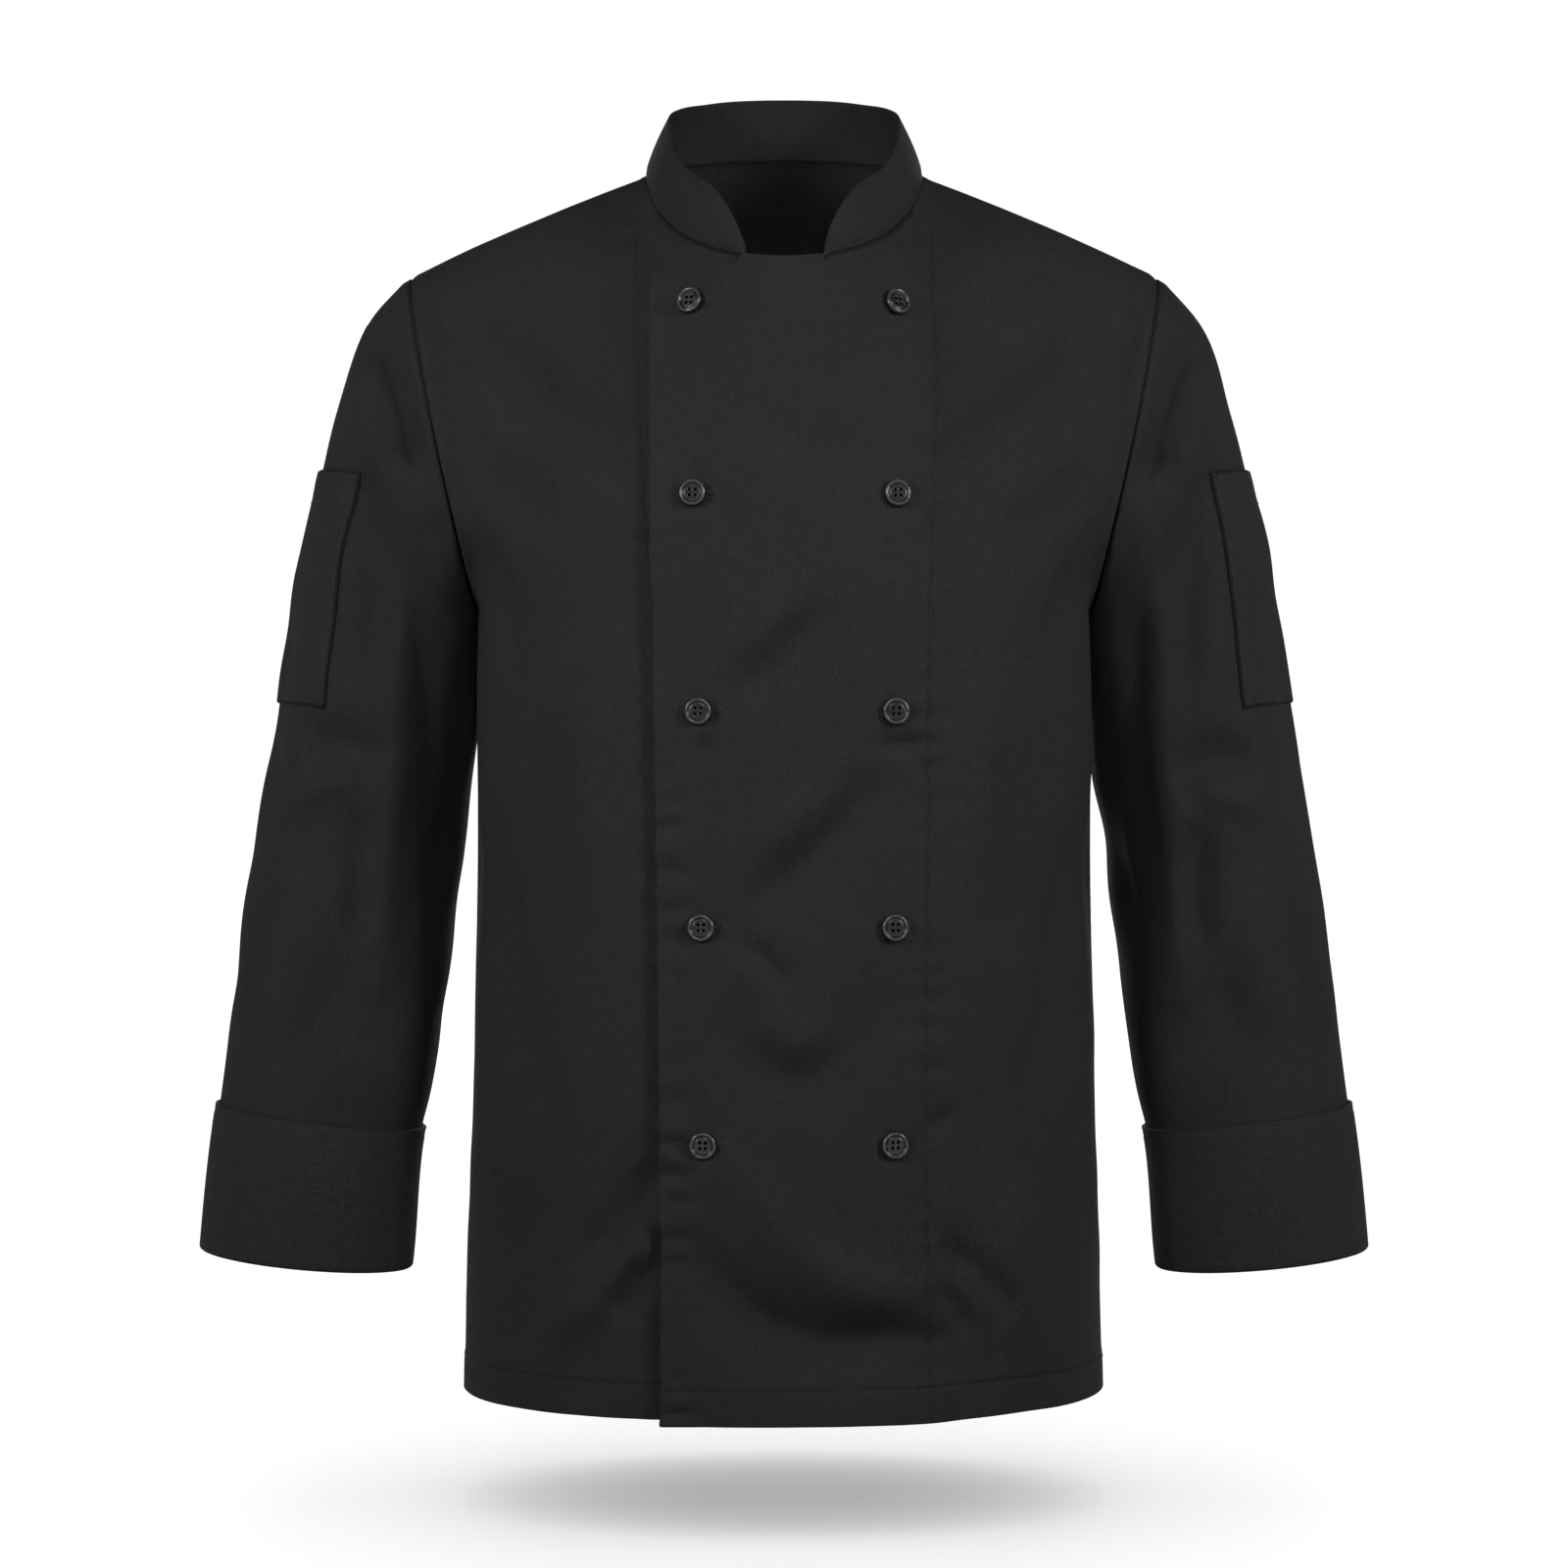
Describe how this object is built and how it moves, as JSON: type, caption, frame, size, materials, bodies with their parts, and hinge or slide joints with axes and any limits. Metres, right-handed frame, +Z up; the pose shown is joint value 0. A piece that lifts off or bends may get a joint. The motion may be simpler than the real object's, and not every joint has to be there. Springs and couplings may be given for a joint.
{
  "type": "chef jacket",
  "caption": "Black double-breasted chef jacket with stand collar, turned-back cuffs and sleeve pockets, hollow and filled out as worn.",
  "frame": {"origin": "midway between the two neck points, where the collar seam meets the shoulder seams", "axes": "+Z up from hem to neck, +X towards the wearer's left, -Y the front with the buttons"},
  "size_m": [0.709, 0.2619, 0.8018],
  "materials": {
    "cloth": "matt fine twill",
    "button": "gloss"
  },
  "bodies": {
    "root": {"right_front": "cloth", "left_front": "cloth", "back": "cloth", "collar": "cloth", "sleeve_right": "cloth", "sleeve_left": "cloth", "cuff_right": "cloth", "cuff_left": "cloth", "sleeve_pocket_right": "cloth", "sleeve_pocket_left": "cloth", "button_right_1": "button", "button_right_2": "button", "button_right_3": "button", "button_right_4": "button", "button_right_5": "button", "button_left_1": "button", "button_left_2": "button", "button_left_3": "button", "button_left_4": "button", "button_left_5": "button"}
  },
  "joints": []
}
